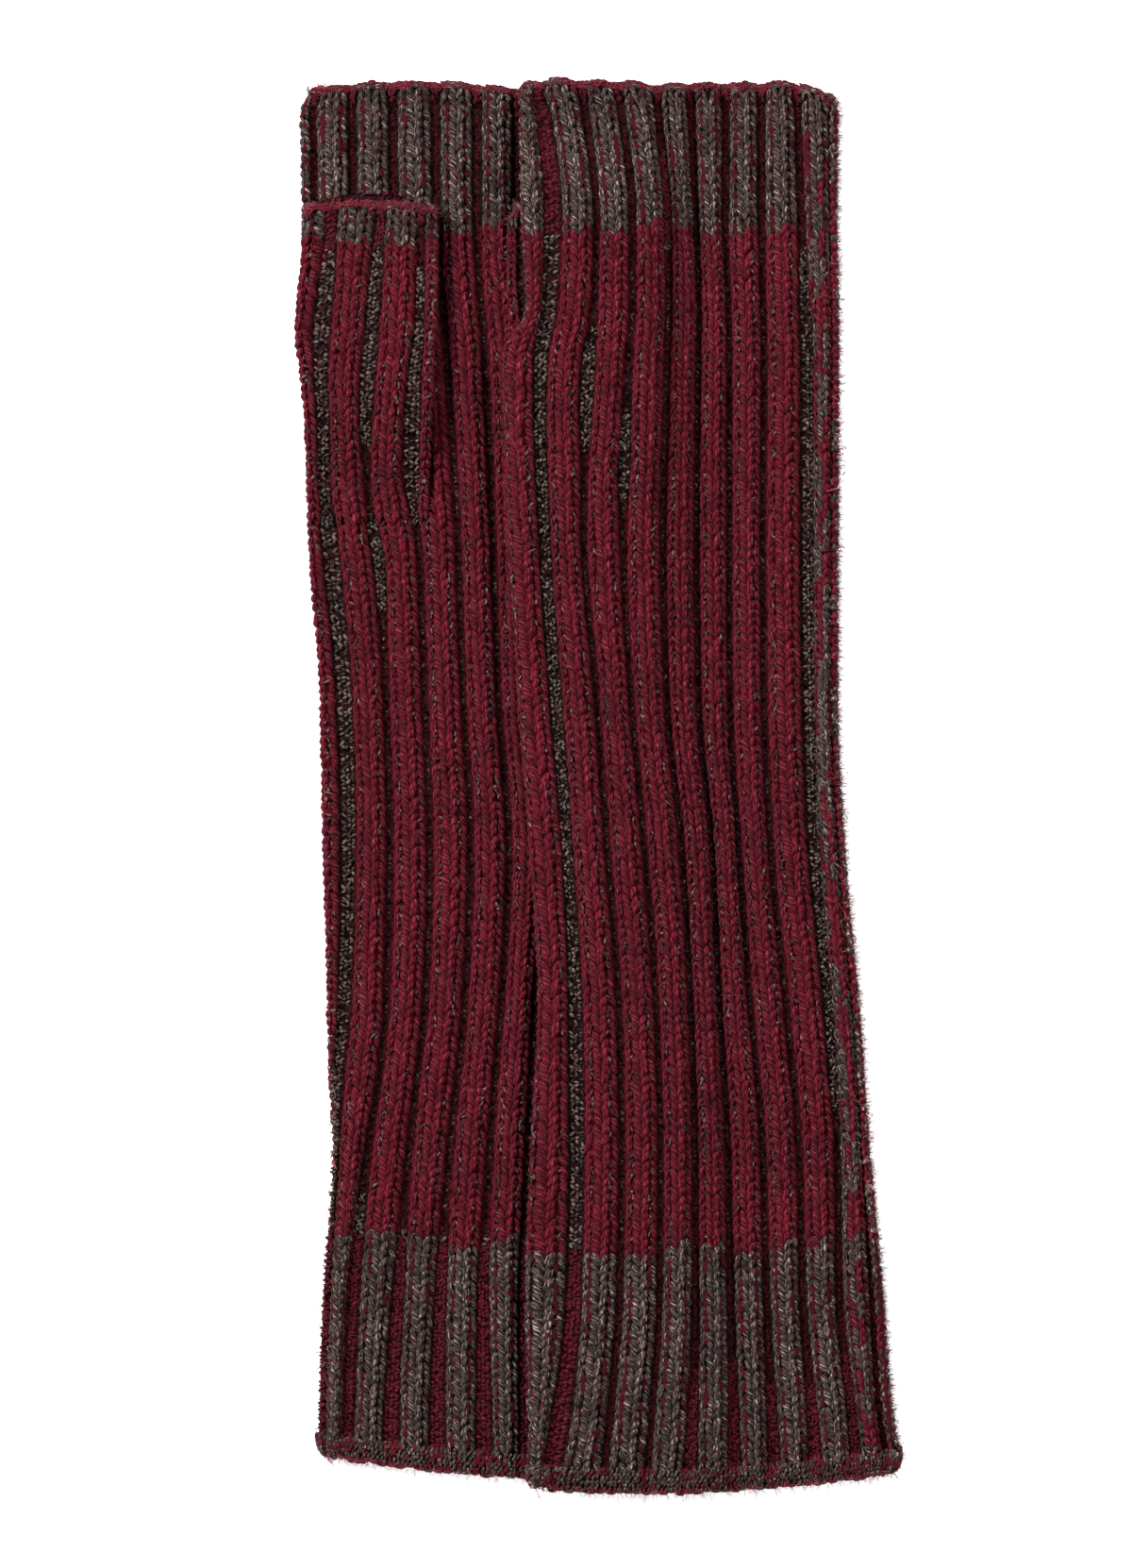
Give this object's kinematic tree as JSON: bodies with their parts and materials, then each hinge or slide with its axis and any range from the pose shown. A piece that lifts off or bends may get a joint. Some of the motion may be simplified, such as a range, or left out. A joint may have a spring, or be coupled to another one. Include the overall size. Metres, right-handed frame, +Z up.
{
  "type": "pair of knitted arm warmers",
  "caption": "Pair of long fingerless arm warmers in a wide knitted rib, laid flat and lapped, each a tube open at hand and forearm with a short thumb tube.",
  "frame": {"origin": "middle of the laid pair's outline, on the surface it lies on", "axes": "+X to the right across the pair, +Y along it to the hand ends, +Z up off the surface"},
  "size_m": [0.1456, 0.3396, 0.0174],
  "materials": {
    "two_yarn_rib": "matt hairy wool, wine red on the ribs and dark grey marl in the furrows, the other way round in the bands at both ends"
  },
  "bodies": {
    "root": {"left_body": "two_yarn_rib", "left_thumb": "two_yarn_rib", "right_body": "two_yarn_rib", "right_thumb": "two_yarn_rib"}
  },
  "joints": []
}
